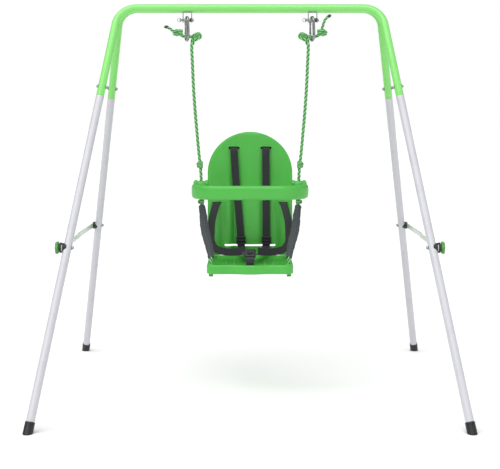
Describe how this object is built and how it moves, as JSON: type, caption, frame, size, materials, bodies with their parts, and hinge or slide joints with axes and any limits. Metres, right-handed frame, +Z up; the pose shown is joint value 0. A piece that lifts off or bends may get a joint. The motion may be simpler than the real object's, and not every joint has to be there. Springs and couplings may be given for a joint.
{
  "type": "folding toddler swing",
  "caption": "Folding A-frame of bent steel tube with a bucket seat, safety ring and harness hung from its top bar on knotted ropes.",
  "frame": {"origin": "on the ground, at the middle of the four feet", "axes": "+X across the frame along the top bar, -Y to the front of the seat, +Z up"},
  "size_m": [1.2788, 1.1314, 1.2539],
  "materials": {
    "green_powder_coat": "gloss powder coat",
    "grey_powder_coat": "gloss powder coat",
    "foot_rubber": "satin",
    "zinc_steel": "zinc plated",
    "black_plastic": "moulded, matte",
    "knob_plastic": "moulded, satin",
    "seat_plastic": "blow moulded, semi-gloss",
    "green_rope": "three-strand twisted polypropylene",
    "webbing": "woven polypropylene"
  },
  "bodies": {
    "front_frame": {"front_top_tube": "green_powder_coat", "front_leg_left": "grey_powder_coat", "front_leg_right": "grey_powder_coat", "front_foot_cap_left": "foot_rubber", "front_foot_cap_right": "foot_rubber", "front_leg_bolt_left": "zinc_steel", "front_leg_bolt_right": "zinc_steel", "fold_pin_left": "zinc_steel", "fold_pin_right": "zinc_steel", "front_saddle_left": "black_plastic", "front_saddle_right": "black_plastic", "front_brace_bolt_left": "zinc_steel", "front_brace_bolt_right": "zinc_steel", "hanger_bracket_left": "zinc_steel", "hanger_bracket_right": "zinc_steel", "hanger_pin_left": "zinc_steel", "hanger_pin_right": "zinc_steel", "ring_clip_left": "zinc_steel", "ring_clip_right": "zinc_steel"},
    "rear_frame": {"rear_top_tube": "green_powder_coat", "rear_leg_left": "grey_powder_coat", "rear_leg_right": "grey_powder_coat", "rear_foot_cap_left": "foot_rubber", "rear_foot_cap_right": "foot_rubber", "rear_leg_bolt_left": "zinc_steel", "rear_leg_bolt_right": "zinc_steel", "rear_saddle_left": "black_plastic", "rear_saddle_right": "black_plastic", "rear_brace_bolt_left": "zinc_steel", "rear_brace_bolt_right": "zinc_steel"},
    "front_link_left": {"front_brace_left": "grey_powder_coat"},
    "front_link_right": {"front_brace_right": "grey_powder_coat"},
    "rear_link_left": {"rear_brace_left": "grey_powder_coat", "brace_rivet_left": "zinc_steel"},
    "rear_link_right": {"rear_brace_right": "grey_powder_coat", "brace_rivet_right": "zinc_steel"},
    "knob_left": {"star_knob_left": "knob_plastic"},
    "knob_right": {"star_knob_right": "knob_plastic"},
    "swing": {"snap_hook_left": "zinc_steel", "snap_hook_right": "zinc_steel", "rope_left": "green_rope", "rope_right": "green_rope", "rear_rope_left": "green_rope", "rear_rope_right": "green_rope", "rope_sleeve_left": "webbing", "rope_sleeve_right": "webbing", "seat_base": "seat_plastic", "backrest": "seat_plastic", "shoulder_strap_left": "webbing", "shoulder_strap_right": "webbing", "waist_strap_left": "webbing", "waist_strap_right": "webbing", "strap_adjuster_left": "black_plastic", "strap_adjuster_right": "black_plastic", "crotch_strap": "webbing", "harness_buckle": "black_plastic"},
    "gate_left": {"hook_gate_left": "zinc_steel"},
    "gate_right": {"hook_gate_right": "zinc_steel"},
    "ring": {"safety_ring": "seat_plastic"},
    "button": {"buckle_button": "black_plastic"}
  },
  "joints": [
    {"name": "fold", "type": "hinge", "parent": "front_frame", "child": "rear_frame", "pos_m": [0, 0, 1.2415], "axis": [1, 0, 0], "range_deg": [-46.3, 0]},
    {"name": "front_link_left_turn", "type": "hinge", "parent": "front_frame", "child": "front_link_left", "pos_m": [-0.5607, -0.33615, 0.5], "axis": [1, 0, 0], "range_deg": [0, 64]},
    {"name": "front_link_right_turn", "type": "hinge", "parent": "front_frame", "child": "front_link_right", "pos_m": [0.5607, -0.33615, 0.5], "axis": [1, 0, 0], "range_deg": [0, 64]},
    {"name": "rear_link_left_turn", "type": "hinge", "parent": "rear_frame", "child": "rear_link_left", "pos_m": [-0.5642, 0.33615, 0.5], "axis": [1, 0, 0], "range_deg": [-64, 0]},
    {"name": "rear_link_right_turn", "type": "hinge", "parent": "rear_frame", "child": "rear_link_right", "pos_m": [0.5642, 0.33615, 0.5], "axis": [1, 0, 0], "range_deg": [-64, 0]},
    {"name": "knob_left_turn", "type": "hinge", "parent": "front_frame", "child": "knob_left", "pos_m": [-0.5735, -0.33615, 0.5], "axis": [1, 0, 0], "continuous": true},
    {"name": "knob_right_turn", "type": "hinge", "parent": "front_frame", "child": "knob_right", "pos_m": [0.5735, -0.33615, 0.5], "axis": [1, 0, 0], "continuous": true},
    {"name": "swing_turn", "type": "hinge", "parent": "front_frame", "child": "swing", "pos_m": [0, -0.019, 1.203], "axis": [1, 0, 0], "range_deg": [-45, 45]},
    {"name": "gate_left_turn", "type": "hinge", "parent": "swing", "child": "gate_left", "pos_m": [-0.2096, -0.0033, 1.1616], "axis": [0.9511, 0.309, 0], "range_deg": [0, 22], "stiffness_Nm_per_rad": 0.05, "springref_deg": -11.46},
    {"name": "gate_right_turn", "type": "hinge", "parent": "swing", "child": "gate_right", "pos_m": [0.1964, -0.0033, 1.1616], "axis": [0.9511, 0.309, 0], "range_deg": [0, 22], "stiffness_Nm_per_rad": 0.05, "springref_deg": -11.46},
    {"name": "ring_lift", "type": "slide", "parent": "swing", "child": "ring", "axis": [0, 0, 1], "range_m": [0, 0.036]},
    {"name": "button_press", "type": "slide", "parent": "swing", "child": "button", "axis": [0, 0.6428, -0.766], "range_m": [0, 0.0022], "stiffness_N_per_m": 300, "springref_m": -0.001}
  ],
  "couplings": [
    {"joint": "front_link_left_turn", "follows": "fold", "ratio": -1.379},
    {"joint": "front_link_right_turn", "follows": "fold", "ratio": -1.379},
    {"joint": "rear_link_left_turn", "follows": "fold", "ratio": 1.379},
    {"joint": "rear_link_right_turn", "follows": "fold", "ratio": 1.379}
  ]
}
